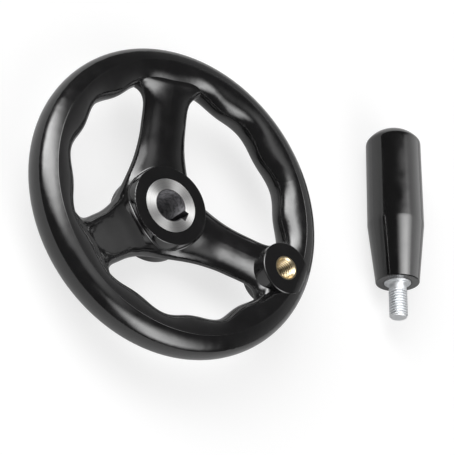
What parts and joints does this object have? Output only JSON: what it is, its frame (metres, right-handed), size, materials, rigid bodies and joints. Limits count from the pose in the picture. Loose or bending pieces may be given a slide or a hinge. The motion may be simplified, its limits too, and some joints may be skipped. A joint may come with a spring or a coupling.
{
  "type": "machine handwheel",
  "caption": "Dished spoked handwheel with a finger-grip rim, keyed hub bore and a threaded boss; its revolving handle lies beside it, unscrewed.",
  "frame": {"origin": "centre of the shaft bore at the back face of the hub, on which the wheel lies", "axes": "+Z along the wheel's axis, out of its front; +X along the spoke with the handle boss; the handle lies on its side at +X, +Y"},
  "size_m": [0.2281, 0.2196, 0.0382],
  "materials": {
    "phenolic": "moulded, high gloss black",
    "turned_steel": "turned face",
    "plated_steel": "bright zinc plated",
    "brass": "machined"
  },
  "bodies": {
    "wheel": {"wheel": "phenolic", "hub_bush": "turned_steel", "handle_insert": "brass", "spindle": "plated_steel", "retaining_ring": "plated_steel"},
    "grip": {"grip": "phenolic"}
  },
  "joints": [
    {"name": "grip_spin", "type": "hinge", "parent": "wheel", "child": "grip", "pos_m": [0.13615, 0.0542, 0.0155], "axis": [0.3907, -0.9205, 0.006], "continuous": true}
  ]
}
